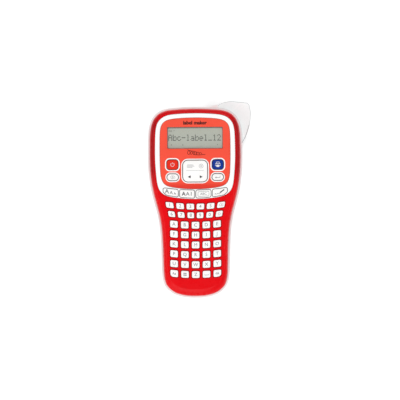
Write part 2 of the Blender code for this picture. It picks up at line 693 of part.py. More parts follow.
def battery_tray():
    """A box open to the back. Its roof is wider, and its ear at the grip end takes the lower screws."""
    mouth, ceiling, roof = BAY_Z
    outer = rounded((0, BAY_Y), BAY_SIZE, BAY_CORNER)
    room = [size - 2 * BAY_WALL for size in BAY_SIZE]
    inner = rounded((0, BAY_Y), room, BAY_CORNER - BAY_WALL)
    half_width, top, foot, ear, ear_foot = BAY_FLANGE
    right = [(half_width, top), (half_width, foot), (ear + 2, foot), (ear, ear_foot)]
    flange = anticlockwise(right + [(-x, y) for x, y in reversed(right)])
    screws = [circle(p, 1.6, 10) for p in LOWER_SCREWS]
    skin = Skin()
    skin.sheet(outer, [inner], mouth, up=False)
    skin.band(lift(outer, mouth), lift(outer, ceiling))
    skin.band(lift(inner, mouth), lift(inner, ceiling))
    skin.sheet(inner, [], ceiling, up=False)
    skin.sheet(flange, [outer, *screws], ceiling, up=False)
    skin.sheet(flange, screws, roof)
    for loop in (flange, *screws):
        skin.band(lift(loop, ceiling), lift(loop, roof))
    solid("battery_tray", skin, "dark_plastic")


def cells():
    """Six cells across the grip, in turn pointing left and right, between two contact strips."""
    for number in range(6):
        y = CELL_FIRST_Y - number * CELL_PITCH
        half = CELL_LENGTH / 2
        can = (circle((0, 0), CELL_RADIUS, 16), -half, half - 0.4)
        nub = (circle((0, 0), 1.9, 10), half - 0.4, half + 0.8)
        cell = stack(f"battery_{number + 1}", [can, nub], "cell_jacket")
        cell.location = Vector((0, y, CELL_Z)) * MM
        cell.rotation_euler = (0, math.pi / 2 * (1 if number % 2 else -1), 0)
    length = CELL_PITCH * 6 - 2
    for side, name in ((-1, "battery_contacts_left"), (1, "battery_contacts_right")):
        strip = rounded((side * CONTACT_X, CELL_FIRST_Y - 2.5 * CELL_PITCH), (0.8, length), 0.2)
        plate(name, strip, [], 3.4, 13.4, "steel")


def screws():
    for number, centre in enumerate(UPPER_SCREWS + LOWER_SCREWS):
        seat = CHASSIS_Z[0] if centre in UPPER_SCREWS else BAY_Z[1]
        head = (circle(centre, 2.3, 12), seat - 2.3, seat - GAP)
        shank = (circle(centre, 1.15, 8), seat - GAP, seat + 12)
        stack(f"case_screw_{number + 1}", [head, shank], "steel")


def main():
    clear_scene()
    front_case()
    rear_case()
    back_cover()
    bezel_and_panel()
    electronics()
    keys()
    chassis()
    drive()
    print_unit()
    cutter()
    battery_tray()
    cells()
    screws()
    label_maker = bpy.data.objects.new("label_maker", None)
    bpy.context.scene.collection.objects.link(label_maker)
    for piece in bpy.data.objects:
        if piece is not label_maker:
            piece.parent = label_maker


main()
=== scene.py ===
import json
import math

import bpy
import numpy as np
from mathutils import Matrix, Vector


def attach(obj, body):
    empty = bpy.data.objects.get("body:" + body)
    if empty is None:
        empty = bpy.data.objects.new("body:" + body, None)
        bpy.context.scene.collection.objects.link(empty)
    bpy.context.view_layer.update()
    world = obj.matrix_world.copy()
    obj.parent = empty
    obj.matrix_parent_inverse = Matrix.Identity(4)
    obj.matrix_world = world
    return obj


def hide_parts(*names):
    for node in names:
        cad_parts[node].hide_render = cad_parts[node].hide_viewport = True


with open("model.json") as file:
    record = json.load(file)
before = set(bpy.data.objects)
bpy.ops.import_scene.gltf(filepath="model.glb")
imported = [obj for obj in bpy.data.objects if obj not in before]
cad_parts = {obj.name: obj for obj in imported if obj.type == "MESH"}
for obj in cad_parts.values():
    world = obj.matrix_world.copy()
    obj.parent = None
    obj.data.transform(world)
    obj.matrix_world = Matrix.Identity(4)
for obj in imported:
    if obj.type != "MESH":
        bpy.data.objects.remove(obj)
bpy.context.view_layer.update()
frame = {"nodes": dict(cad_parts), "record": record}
mm = 0.001  # sizes below are in millimetres
scene = bpy.context.scene
print("frame loaded, nodes:", len(frame["nodes"]))

# finishes: a colour with mottling, fine grain in the bump, uneven gloss and paler worn edges; where a piece's
# faces carry a share of it, the deep colour is painted shade

finishLooks = {
    "red_shell": {"colour": (0.70, 0.0003, 0.0035), "worn": (0.78, 0.003, 0.008),
                  "deep": (0.33, 0.0006, 0.003), "rough": 0.28, "specular": 0.14, "grain": 2600,
                  "bump": 0.05},
    # the key mat's dark red is partly painted shade in the gaps round the keys
    "key_mat_and_shade": {"colour": (0.45, 0.001, 0.004), "worn": (0.5, 0.002, 0.005), "rough": 0.7, "specular": 0.1,
                "grain": 2400, "bump": 0.12},
    "lever_white": {"colour": (0.94, 0.965, 0.965), "deep": (0.55, 0.56, 0.57), "rough": 0.36,
                    "specular": 0.25, "grain": 2200, "bump": 0.05},
    "white_shell": {"colour": (0.91, 0.91, 0.905), "deep": (0.66, 0.66, 0.665), "rough": 0.42,
                    "specular": 0.25, "grain": 2200, "bump": 0.08},
    "coral_panel": {"colour": (0.84, 0.083, 0.048), "worn": (0.86, 0.1, 0.06), "deep": (0.66, 0.036, 0.024),
                    "rough": 0.34, "specular": 0.1, "grain": 3200, "bump": 0.03},
    "white_key": {"colour": (0.88, 0.87, 0.855), "rough": 0.5, "specular": 0.25, "grain": 2800, "bump": 0.07},
    "red_key": {"colour": (0.72, 0.022, 0.008), "worn": (0.78, 0.035, 0.015), "rough": 0.42, "specular": 0.15,
                "grain": 2800, "bump": 0.07},
    "blue_key": {"colour": (0.002, 0.03, 0.25), "worn": (0.004, 0.04, 0.3), "rough": 0.42, "specular": 0.15,
                 "grain": 2800, "bump": 0.07},
    "display_glass": {"colour": (0.34, 0.365, 0.305), "rough": 0.35, "grain": 1400, "bump": 0.01,
                      "mottle": 0.04},
    "clear_window": {"colour": (0.9, 0.93, 0.9), "rough": 0.06, "specular": 0.3, "alpha": 0.05, "bump": 0.0,
                     "mottle": 0.02},
    "dark_plastic": {"colour": (0.03, 0.03, 0.033), "rough": 0.5, "grain": 1800, "bump": 0.12},
    "grey_plastic": {"colour": (0.22, 0.225, 0.235), "rough": 0.48, "grain": 1800, "bump": 0.1},
    "nylon_gear": {"colour": (0.66, 0.64, 0.55), "rough": 0.46, "grain": 1200, "bump": 0.06, "mottle": 0.1},
    "black_rubber": {"colour": (0.02, 0.02, 0.021), "rough": 0.82, "grain": 3400, "bump": 0.2},
    "label_film": {"colour": (0.82, 0.82, 0.79), "rough": 0.26, "grain": 900, "bump": 0.03},
    # painted shadow of the display's recess
    "recess_shadow_grey": {"colour": (0.13, 0.135, 0.115), "rough": 0.6, "specular": 0.1, "grain": 2400,
                    "bump": 0.05},
    # the seal's near-black is partly painted shade in the gaps round the buttons
    "seal_and_gap_shade": {"colour": (0.045, 0.045, 0.048), "rough": 0.75, "specular": 0.1, "grain": 2400, "bump": 0.1},
    "grey_ink": {"colour": (0.22, 0.22, 0.23), "rough": 0.6, "bump": 0.02},
    "dark_grey_ink": {"colour": (0.05, 0.05, 0.053), "rough": 0.6, "bump": 0.02},
    "dark_ink": {"colour": (0.012, 0.011, 0.012), "rough": 0.6, "specular": 0.1, "bump": 0.02},
    "red_ink": {"colour": (0.09, 0.006, 0.006), "rough": 0.55, "specular": 0.1, "bump": 0.02},
    "pixel_ink": {"colour": (0.035, 0.038, 0.03), "rough": 0.5, "specular": 0.1, "bump": 0.02},
    "pale_ink": {"colour": (0.68, 0.66, 0.66), "rough": 0.55, "bump": 0.02},
}
metalLooks = {  # stretch is how much longer the brushing is one way than the other
    "steel": {"colour": (0.52, 0.52, 0.54), "rough": 0.3, "stretch": (40, 1, 1), "stain": (0.40, 0.36, 0.31)},
    "aluminium": {"colour": (0.62, 0.63, 0.65), "rough": 0.42, "stretch": (1, 12, 1),
                  "stain": (0.48, 0.47, 0.46)},
}


def newMaterial(name):
    material = bpy.data.materials.new(name)
    material.use_nodes = True
    nodes, links = material.node_tree.nodes, material.node_tree.links
    shader = nodes["Principled BSDF"]
    place = nodes.new("ShaderNodeTexCoord").outputs["Object"]
    return material, nodes, links, shader, place


def noise(nodes, links, place, scale, detail=3.0):
    texture = nodes.new("ShaderNodeTexNoise")
    texture.inputs["Scale"].default_value = scale
    texture.inputs["Detail"].default_value = detail
    links.new(place, texture.inputs["Vector"])
    return texture.outputs["Fac"]


def spread(nodes, links, value, low, high, start=0.3, end=0.7):  # takes start..end to low..high
    step = nodes.new("ShaderNodeMapRange")
    for name, number in (("From Min", start), ("From Max", end), ("To Min", low), ("To Max", high)):
        step.inputs[name].default_value = number
    links.new(value, step.inputs["Value"])
    return step.outputs["Result"]


def blendColours(nodes, links, factor, first, second):
    mix = nodes.new("ShaderNodeMix")
    mix.data_type = "RGBA"
    links.new(factor, mix.inputs["Factor"])
    for socket, colour in ((mix.inputs["A"], first), (mix.inputs["B"], second)):
        if isinstance(colour, tuple):
            socket.default_value = (*colour, 1)
        else:
            links.new(colour, socket)
    return mix.outputs["Result"]


def grainBump(nodes, links, shader, height, strength, depth=0.0001):
    bump = nodes.new("ShaderNodeBump")
    bump.inputs["Strength"].default_value = strength
    bump.inputs["Distance"].default_value = depth
    links.new(height, bump.inputs["Height"])
    links.new(bump.outputs["Normal"], shader.inputs["Normal"])


def scaled(colour, share):
    return tuple(min(1.0, c * share) for c in colour)


def plasticFinish(name, look):
    material, nodes, links, shader, place = newMaterial(name)
    mottle = look.get("mottle", 0.03)
    cloud = spread(nodes, links, noise(nodes, links, place, 55), 0, 1)
    dull, clear = scaled(look["colour"], 1 - mottle), scaled(look["colour"], 1 + mottle)
    base = blendColours(nodes, links, cloud, dull, clear)
    fleck = spread(nodes, links, noise(nodes, links, place, 900, 1.0), 0, 0.35, 0.62, 0.8)
    base = blendColours(nodes, links, fleck, base, scaled(look["colour"], 0.8))
    worn = spread(nodes, links, nodes.new("ShaderNodeNewGeometry").outputs["Pointiness"], 0, 0.6, 0.53, 0.62)
    base = blendColours(nodes, links, worn, base, look.get("worn", scaled(look["colour"], 1.12)))
    if "deep" in look:  # painted shade: towards the deep colour, by as much as each face's share says
        tone = nodes.new("ShaderNodeAttribute")
        tone.attribute_name = "deepTone"
        base = blendColours(nodes, links, tone.outputs["Fac"], base, look["deep"])
    links.new(base, shader.inputs["Base Color"])
    smear = noise(nodes, links, place, 140, 4.0)
    rough = spread(nodes, links, smear, look["rough"] - 0.05, look["rough"] + 0.07)
    links.new(rough, shader.inputs["Roughness"])
    shader.inputs["Specular IOR Level"].default_value = look.get("specular", 0.35)
    shader.inputs["Alpha"].default_value = look.get("alpha", 1.0)
    if look["bump"]:
        grain = noise(nodes, links, place, look.get("grain", 2400), 2.0)
        grainBump(nodes, links, shader, grain, look["bump"])
    return material


def metalFinish(name, look):
    material, nodes, links, shader, place = newMaterial(name)
    stretch = nodes.new("ShaderNodeMapping")
    stretch.inputs["Scale"].default_value = look["stretch"]
    links.new(place, stretch.inputs["Vector"])
    brushed = noise(nodes, links, stretch.outputs["Vector"], 700, 2.0)
    stain = spread(nodes, links, noise(nodes, links, place, 180), 0, 0.5, 0.55, 0.8)
    links.new(blendColours(nodes, links, stain, look["colour"], look["stain"]), shader.inputs["Base Color"])
    rough = spread(nodes, links, brushed, look["rough"] - 0.08, look["rough"] + 0.1)
    links.new(rough, shader.inputs["Roughness"])
    shader.inputs["Metallic"].default_value = 1.0
    grainBump(nodes, links, shader, brushed, 0.12)
    return material


def boardFinish(name):  # green mask with paler copper runs from a brick pattern, and darker clouds
    material, nodes, links, shader, place = newMaterial(name)
    runs = nodes.new("ShaderNodeTexBrick")
    runs.inputs["Scale"].default_value = 180
    runs.inputs["Mortar Size"].default_value = 0.03
    runs.inputs["Color1"].default_value = (0.008, 0.10, 0.035, 1)
    runs.inputs["Color2"].default_value = (0.010, 0.13, 0.045, 1)
    runs.inputs["Mortar"].default_value = (0.06, 0.26, 0.09, 1)
    links.new(place, runs.inputs["Vector"])
    cloud = spread(nodes, links, noise(nodes, links, place, 90), 0, 0.5)
    base = blendColours(nodes, links, cloud, runs.outputs["Color"], (0.01, 0.08, 0.03))
    links.new(base, shader.inputs["Base Color"])
    links.new(spread(nodes, links, noise(nodes, links, place, 300), 0.35, 0.5), shader.inputs["Roughness"])
    grainBump(nodes, links, shader, runs.outputs["Fac"], 0.2)
    return material


def cellFinish(name):  # a dark jacket, and pale bands at both ends by the distance from the middle along X
    material, nodes, links, shader, place = newMaterial(name)
    split = nodes.new("ShaderNodeSeparateXYZ")
    links.new(place, split.inputs["Vector"])
    size = nodes.new("ShaderNodeMath")
    size.operation = "ABSOLUTE"
    links.new(split.outputs["X"], size.inputs[0])
    ends = spread(nodes, links, size.outputs["Value"], 0, 1, 0.0150, 0.0153)
    jacket = spread(nodes, links, noise(nodes, links, place, 120), 0, 1)
    dark = blendColours(nodes, links, jacket, (0.02, 0.022, 0.03), (0.035, 0.037, 0.045))
    links.new(blendColours(nodes, links, ends, dark, (0.55, 0.36, 0.16)), shader.inputs["Base Color"])
    links.new(spread(nodes, links, noise(nodes, links, place, 260), 0.25, 0.4), shader.inputs["Roughness"])
    shader.inputs["Metallic"].default_value = 0.4
    grainBump(nodes, links, shader, noise(nodes, links, place, 900), 0.05)
    return material


finishes = {name: plasticFinish(name, look) for name, look in finishLooks.items()}
finishes.update({name: metalFinish(name, look) for name, look in metalLooks.items()})
finishes["circuit_board"] = boardFinish("circuit_board")
finishes["cell_jacket"] = cellFinish("cell_jacket")
slotOf = {part["node"]: part["material_slot"] for part in frame["record"]["subparts"]}
for node, thing in frame["nodes"].items():
    thing.data.materials.clear()
    thing.data.materials.append(finishes[slotOf[node]])
print("finishes made:", len(finishes))

# shapes: grids of points and the quads between them


def gridQuads(rows, columns, rowsClose=False):
    # quads between neighbours; the columns close on themselves, and the rows too if asked
    i = np.arange(rows if rowsClose else rows - 1)[:, None]
    j = np.arange(columns)[None, :]
    here, above, beside = i * columns, (i + 1) % rows * columns, (j + 1) % columns
    return np.stack([here + j, here + beside, above + beside, above + j], axis=-1).reshape(-1, 4)


def fromRings(rings, rowsClose=False):  # a stack of closed rings as points and quads
    rings = np.asarray(rings)
    return rings.reshape(-1, 3), gridQuads(len(rings), rings.shape[1], rowsClose).tolist()


def joinShapes(shapes):
    points = np.concatenate([shape[0] for shape in shapes])
    starts = np.cumsum([0] + [len(shape[0]) for shape in shapes[:-1]])
    return points, [[i + start for i in face] for shape, start in zip(shapes, starts) for face in shape[1]]


def makeMesh(name, shape, crease=32, deepTone=None):
    mesh = bpy.data.meshes.new(name)
    mesh.from_pydata((shape[0] * mm).tolist(), [], shape[1])
    # painted shade: each face's share of the finish's deep colour
    if deepTone is not None:
        tone = mesh.attributes.new("deepTone", "FLOAT", "FACE")
        tone.data.foreach_set("value", np.float32(np.ones(len(shape[1])) * np.ravel(deepTone)))
    mesh.validate()
    thing = bpy.data.objects.new(name, mesh)
    scene.collection.objects.link(thing)
    weld = thing.modifiers.new("weld", "WELD")  # closes the poles
    weld.merge_threshold = 1e-7
    keepResult(thing, crease)
    return thing


def keepResult(thing, crease=32):  # the modifiers' result becomes the mesh
    graph = bpy.context.evaluated_depsgraph_get()
    made = bpy.data.meshes.new_from_object(thing.evaluated_get(graph))
    thing.modifiers.clear()
    thing.data = made
    made.shade_smooth()
    made.set_sharp_from_angle(angle=math.radians(crease))


def addPiece(name, shape, finish, body, cuts=(), crease=32, deepTone=None):
    thing = makeMesh(name, shape, crease, deepTone)
    for number, cut in enumerate(cuts):
        # the walls a cut leaves take the painted shade in full, as shade in the hole
        cutter = makeMesh(f"{name}Cut{number}", cut, deepTone=None if deepTone is None else 1.0)
        step = thing.modifiers.new("cut", "BOOLEAN")
        step.operation, step.solver, step.object = "DIFFERENCE", "EXACT", cutter
        keepResult(thing, crease)
        bpy.data.objects.remove(cutter, do_unlink=True)
    thing.data.materials.clear()
    thing.data.materials.append(finishes[finish])
    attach(thing, body)
    return thing


# outlines, each an anticlockwise loop of (x, y) rows

crown = {"height": 50.0, "y": 45.0, "fall": 0.0004}
caseHalf = [
    (0, 98.6), (18, 98.0), (30, 96.7), (37.6, 93.6), (42.6, 88.6), (45.7, 82), (47.2, 73), (47.7, 60),
    (47.6, 40), (46.4, 25), (44.2, 12), (40.7, -1.7), (37.5, -14), (35.4, -28), (34.4, -44), (33.9, -60),
    (33.2, -77), (31.0, -86), (27, -91), (20.5, -95.3), (10.5, -97.9), (0, -98.5),
]
bezelHalf = [
    (0, 93.8), (17, 93.2), (28, 91.9), (34.6, 89.1), (39.2, 84.0), (41.2, 77.0), (42.0, 64), (42.0, 44),
    (40.9, 28), (39.3, 17.5), (36.0, 11.1), (29.5, 7.0), (16, 4.6), (0, 3.7),
]
panelHalf = [
    (0, 89.1), (15, 88.6), (25, 87.6), (31.5, 85.4), (35.2, 81), (36.6, 74), (37.0, 56), (36.7, 38),
    (35.7, 26.5), (33.0, 20.4), (28, 17.2), (15, 14.9), (0, 14.2),
]


def frontZ(x, y):  # the crown's height less its fall times the squared distance from the crown
    return crown["height"] - crown["fall"] * (x * x + (y - crown["y"]) ** 2)


def smoothLoop(half, steps=12):
    # each span is a cubic from knot to knot, and its end slopes lie along the neighbouring knots
    knots = np.array(half + [(-x, y) for x, y in half[-2:0:-1]], float)
    before, start, end, after = (np.roll(knots, k, axis=0)[:, None] for k in (1, 0, -1, -2))
    spans = (end - start, start - before, after - end)
    span, back, ahead = (np.linalg.norm(d, axis=-1, keepdims=True) for d in spans)
    leave = (end - before) * span / (back + span)
    arrive = (after - start) * span / (span + ahead)
    t = (np.arange(steps) / steps)[None, :, None]
    curve = (
        start * (2 * t**3 - 3 * t**2 + 1) + leave * (t**3 - 2 * t**2 + t)
        + end * (3 * t**2 - 2 * t**3) + arrive * (t**3 - t**2)
    )
    return np.roll(curve.reshape(-1, 2)[::-1], 1, axis=0)


def evenLoop(loop, waist, counts):
    # even steps down the left to the waist, round the lower part, and up the right
    closed = np.vstack([loop, loop[:1]])
    run = np.concatenate([[0], np.cumsum(np.linalg.norm(np.diff(closed, axis=0), axis=1))])
    low = np.flatnonzero(loop[:, 1] < waist)
    left, right = run[low[0]], run[low[-1]]
    spans = ((0, left, counts[0]), (left, right, counts[1]), (right, run[-1], counts[0]))
    places = np.concatenate([np.linspace(a, b, n, endpoint=False) for a, b, n in spans])
    return np.stack([np.interp(places, run, closed[:, k]) for k in (0, 1)], axis=1)


def insetLoop(loop, width):  # moved inwards across the line between each point's neighbours
    along = np.roll(loop, -1, axis=0) - np.roll(loop, 1, axis=0)
    along /= np.linalg.norm(along, axis=1, keepdims=True)
    inward = np.stack([-along[:, 1], along[:, 0]], axis=1)
    return loop + inward * np.reshape(width, (-1, 1))


def softRect(centre, size, radii, slope=0.0, lean=0.0, steps=6):
    # a quarter circle at each corner, anticlockwise from the upper right, then sloped and leant
    made = []
    for quarter, (sx, sy) in enumerate(((1, 1), (-1, 1), (-1, -1), (1, -1))):
        radius = radii[quarter] if isinstance(radii, tuple) else radii
        angle = (quarter + np.linspace(0, 1, steps)) * math.pi / 2
        u = sx * (size[0] / 2 - radius) + radius * np.cos(angle)
        v = sy * (size[1] / 2 - radius) + radius * np.sin(angle)
        made.append(np.stack([centre[0] + u + lean * v, centre[1] + v + slope * u], axis=1))
    return np.concatenate(made)


def ring(loop, z):
    return np.column_stack([loop, np.broadcast_to(z, len(loop))])


def onFront(rise):
    return lambda x, y: frontZ(x, y) + rise


def ringOn(loop, height, drop=0.0):
    return ring(loop, height(loop[:, 0], loop[:, 1]) - drop)


def between(first, second, steps):  # loops that go evenly from one loop to another
    return [first + (second - first) * k / (steps - 1) for k in range(steps)]


# casings

casing = {  # the grip's end has a wider edge, part chamfered, that comes in over some millimetres of y
    "foot": 25.0, "footSteps": (3.8, 7.6), "wall": 2.0, "edgeDrop": 6.0, "innerDrop": 4.0,
    "edgeWidth": 4.3, "endEdgeWidth": 7.0, "endFrom": -78, "endOver": 14,
    "endChamfer": 0.4, "chamferFrom": -70, "chamferOver": 16,
    "rim": 2.2, "rearTop": 27.0, "roundHeight": 15.0, "roundWidth": 6.0, "rearWall": 1.9, "flank": 19.0,
    "coverEdge": 5.8,
}
headShade = {  # painted shade on the head: a deeper red by y, and the least share of it
    "from": 12, "over": 22, "end": 99, "fade": 14, "least": 0.35, "wall": 0.2,
}
leverCut = [(23.0, 89), (38, 84), (41, 70), (42, 57), (75, 57), (75, 125), (23.0, 125)]  # the lever's room
exitCut = [(12.8, 90), (18.4, 90), (18.4, 110), (12.8, 110)]  # the slot the label comes out of
lipOutline = [(14.2, 99.6), (24.0, 99.0), (24.0, 102.4), (23.2, 103.0), (19.0, 101.8), (16.2, 100.8)]
cutHeights = {"lever": (8.0, 20.0), "exit": (3.4, 20.6), "lip": (20.9, 26.5)}
caseLoop = evenLoop(smoothLoop(caseHalf), 14, (100, 150))
bezelLoop = evenLoop(smoothLoop(bezelHalf), 13, (100, 150))

letterColumns = (-22.7, -11.35, 0.0, 11.35, 22.7)
keyRows = {  # each row's middle, its keys' places, their size, how much they lean, and what they say
    "digit_keys_upper": (-4.4, (-27.0, -16.0, -5.3, 5.3, 16.0, 27.0), (8.2, 6.3), 0.006, "12345<"),
    "digit_keys_lower": (-13.6, (-25.0, -15.0, -4.9, 4.9, 15.0, 25.0), (7.2, 6.3), 0.0068, "67890>"),
    "letter_keys_1": (-24.0, letterColumns, (8.2, 7.4), 0.0, "ABCDE"),
    "letter_keys_2": (-34.4, letterColumns, (8.2, 7.4), 0.0, "FGHIJ"),
    "letter_keys_3": (-44.8, letterColumns, (8.2, 7.4), 0.0, "KLMNO"),
    "letter_keys_4": (-55.2, letterColumns, (8.2, 7.4), 0.0, "PQRST"),
    "letter_keys_5": (-65.6, letterColumns, (8.2, 7.4), 0.0, "UVWXY"),
    "letter_keys_6": (-76.0, letterColumns, (8.2, 7.4), 0.0, "a#Z_@"),
}
keyLook = {
    "corner": 1.5, "endCorner": 3.2, "bend": 0.0024, "gap": 0.2, "flare": 0.6, "proud": 1.6, "edge": 0.32,
    "dish": 0.18, "slim": 0.15, "webZ": (39.4, 40.4), "webReach": 0.75,
}
skirtLook = {"reach": 0.12, "inside": 0.4, "under": 0.8, "thick": 1.0}


def keyLoop(row, x, grow=0.0):
    # the row bends up by bend times x squared; the last row's end keys have a wide outer lower corner
    middle, _, size, lean, _ = keyRows[row]
    corner = keyLook["corner"] + grow
    radii = [corner] * 4
    if row == "letter_keys_6" and abs(x) > 20:
        radii[2 if x < 0 else 3] = keyLook["endCorner"] + grow
    slope = 2 * keyLook["bend"] * x
    full = (size[0] + 2 * grow, size[1] + 2 * grow)
    return softRect((x, middle + keyLook["bend"] * x * x), full, tuple(radii), slope, lean * x)


def flaredCut(loopAt, floor, flare=0.3):
    # a straight hole that opens out by the flare over the last half millimetre below the front
    rings = [ring(loopAt(0), floor), ringOn(loopAt(0), onFront(-0.5)), ringOn(loopAt(flare), onFront(0.05))]
    rings.append(ringOn(loopAt(2.5 * flare), onFront(2.0)))
    middle = loopAt(0).mean(axis=0)
    ends = [ring(middle + 0 * loopAt(0), floor), ring(middle + 0 * loopAt(0), frontZ(*middle) + 2.0)]
    return fromRings([ends[0], *rings, ends[1]])


def frontShell():
    # up the wall, round the edge by a quarter ellipse, across the crowned face to the bezel, and back inside
    y = caseLoop[:, 1]
    atEnd = np.clip((casing["endFrom"] - y) / casing["endOver"], 0, 1)
    width = casing["edgeWidth"] + (casing["endEdgeWidth"] - casing["edgeWidth"]) * atEnd
    chamfer = casing["endChamfer"] * np.clip((casing["chamferFrom"] - y) / casing["chamferOver"], 0, 1)
    wall, drop = casing["wall"], casing["edgeDrop"]
    turn = np.linspace(0, math.pi / 2, 12)
    outer = [ring(caseLoop, casing["foot"] + step) for step in (0, *casing["footSteps"])]
    outer += [
        ringOn(insetLoop(caseLoop, width * (1 - math.cos(a))), frontZ,
               drop * ((1 - chamfer) * (1 - math.sin(a)) + chamfer * math.cos(a)))
        for a in turn
    ]
    hole = insetLoop(bezelLoop, -0.3)
    face = [ringOn(insetLoop(caseLoop, width + 0.2), frontZ)]
    face += [ringOn(loop, frontZ) for loop in between(insetLoop(caseLoop, width + 0.2), hole, 30)[1:]]
    under = [ringOn(loop, frontZ, wall) for loop in between(hole, insetLoop(caseLoop, width), 8)]
    inner = [
        ringOn(insetLoop(caseLoop, wall + (width - wall) * (1 - math.cos(a))), frontZ,
               wall + casing["innerDrop"] * (1 - math.sin(a)))
        for a in turn[::-2]
    ]
    inner.append(ring(insetLoop(caseLoop, wall), casing["foot"]))
    holes = [
        flaredCut(lambda grow, row=row, x=x: keyLoop(row, x, keyLook["gap"] + grow), 36, keyLook["flare"])
        for row in keyRows for x in keyRows[row][1]
    ]
    shape = fromRings([*outer, *face, *under, *inner], rowsClose=True)
    # painted shade: the head's walls, rounded edges and the face beside them go a darker red, most on the
    # rounding
    tone = headShade
    head = np.clip((y - tone["from"]) / tone["over"], 0, 1)
    head = head * np.clip((tone["end"] - y) / tone["fade"], tone["least"], 1)
    rounding = np.interp(np.linspace(0, 1, len(turn)), (0, 0.35, 0.7, 1), (tone["wall"], 0.6, 1.0, 0.8))
    fading = np.linspace(0.8, 0, len(face)) ** 2
    rows = np.concatenate([[tone["wall"]] * 3, rounding, fading, np.ones(len(under + inner))])
    piece = addPiece("frontShell", shape, "red_shell", "housing", [joinShapes(holes)],
                     deepTone=rows[:, None] * head)
    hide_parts("front_case")


def prismShape(corners, low, high):  # a flat-ended prism over a polygon, its ends closed by one face each
    loop = np.array(corners, float)
    count = len(loop)
    points = np.concatenate([ring(loop, low), ring(loop, high)])
    sides = [[i, (i + 1) % count, count + (i + 1) % count, count + i] for i in range(count)]
    return points, sides + [list(range(count))[::-1], list(range(count, 2 * count))]


def rearShell():
    # down from a rounded rim, round the flank by a quarter ellipse, along the lip, and back up inside
    rim, top, thick = casing["rim"], casing["rearTop"], casing["rearWall"]
    high, wide = casing["roundHeight"], casing["roundWidth"]
    turn = np.linspace(0, math.pi / 2, 14)
    steps = [(-0.08, top - 0.5), (-0.3, top), (-rim + 0.4, top), (-rim + 0.12, top - 0.12), (-rim, top - 0.4)]
    steps.append((-rim, casing["flank"]))
    steps += [(-rim + wide * (1 - math.cos(a)), high * (1 - math.sin(a))) for a in turn]
    steps += [(casing["coverEdge"] - 0.2, 0.0), (casing["coverEdge"], 0.2), (casing["coverEdge"], thick)]
    steps += [
        (-rim + thick + (wide - thick) * (1 - math.cos(a)), thick + (high - thick) * (1 - math.sin(a)))
        for a in turn[::-2]
    ]
    rings = [ring(insetLoop(caseLoop, away), z) for away, z in steps]
    cuts = [prismShape(leverCut, *cutHeights["lever"]), prismShape(exitCut, *cutHeights["exit"])]
    line = np.zeros((len(rings), 1))
    line[-6:-3] = (0.3,), (1.0,), (1.0,)  # painted shade: a greyer line below the rim's rounded edge
    line = line * 0.7 + np.zeros((1, len(caseLoop)))
    shape = fromRings(rings[::-1], rowsClose=True)
    piece = addPiece("rearShell", shape, "white_shell", "housing", cuts, deepTone=line)
    addPiece("exitLip", prismShape(lipOutline, *cutHeights["lip"]), "white_shell", "housing")
    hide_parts("rear_case")


frontShell()
rearShell()
print("casings made")

# bezel, panel, display

bezelLook = {"proud": 0.5, "depth": 2.6, "crown": 0.28}
panelLook = {
    "proud": 0.1, "depth": 1.9, "hole": 0.58, "flare": 0.2, "deepBelow": 20.5, "deepOver": 4, "deepest": 0.8,
}
windowLook = {"middle": (0, 68.0), "size": (58.4, 22.8), "corner": 1.0}
surroundLook = {"gap": 0.5, "inside": 0.62, "swell": 0.32}
styleKeys = {  # the two edges give a height at the middle and its rise with the square of x
    "centres": (-25.9, -8.6, 8.6, 25.9), "width": 15.7, "cut": 1.15, "outerCut": 3.4, "proud": 1.2,
    "edge": 0.45, "lowEdge": (4.7, 0.0036), "highEdge": (12.9, 0.0023), "middle": 8.7, "rise": 0.003,
    "gap": 0.52, "flare": 0.1,
}


def styleLoop(x0, grow=0.0):
    # the key's lower side follows the bezel's edge and its upper side the panel's; its corners are cut twice
    left, right, cut = x0 - styleKeys["width"] / 2, x0 + styleKeys["width"] / 2, styleKeys["cut"]
    outer = styleKeys["outerCut"] if abs(x0) > styleKeys["width"] else cut
    cutL, cutR = (outer, cut) if x0 < 0 else (cut, outer)

    def low(x):
        return styleKeys["lowEdge"][0] + styleKeys["lowEdge"][1] * x * x

    def high(x):
        return styleKeys["highEdge"][0] + styleKeys["highEdge"][1] * x * x

    loop = np.array([
        (left + cutL, low(left + cutL)), (x0, low(x0)), (right - cutR, low(right - cutR)),
        (right, low(right) + 0.7 * cutR), (right, high(right) - cut), (right - cut, high(right - cut)),
        (x0, high(x0)), (left + cut, high(left + cut)), (left, high(left) - cut),
        (left, low(left) + 0.7 * cutL),
    ])
    for _ in range(2):
        ahead = np.roll(loop, -1, axis=0)
        loop = np.stack([0.86 * loop + 0.14 * ahead, 0.14 * loop + 0.86 * ahead], axis=1).reshape(-1, 2)
    return insetLoop(loop, -grow) if grow else loop


def bezelRing():
    # a crowned band between two loops, with rounded shoulders
    outer = evenLoop(smoothLoop(bezelHalf), 18, (70, 70))
    inner = evenLoop(insetLoop(smoothLoop(panelHalf), -0.3), 22, (70, 70))
    bands = between(outer, inner, 11)
    share = np.linspace(0, 1, 11)
    rise = bezelLook["proud"] - bezelLook["crown"] * (2 * share - 1) ** 2
    rings = [ringOn(outer, onFront(-bezelLook["depth"])), ringOn(outer, onFront(-0.1))]
    rings += [ringOn(loop, onFront(high)) for loop, high in zip(bands[1:-1], rise[1:-1])]
    rings += [ringOn(inner, onFront(-0.1)), ringOn(inner, onFront(-bezelLook["depth"]))]
    gap, flare = styleKeys["gap"], styleKeys["flare"]
    holes = [flaredCut(lambda grow, x=x: styleLoop(x, gap + flare * grow), 40) for x in styleKeys["centres"]]
    shape = fromRings(rings, rowsClose=True)
    piece = addPiece("bezelRing", shape, "white_shell", "housing", [joinShapes(holes)])
    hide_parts("bezel_ring")


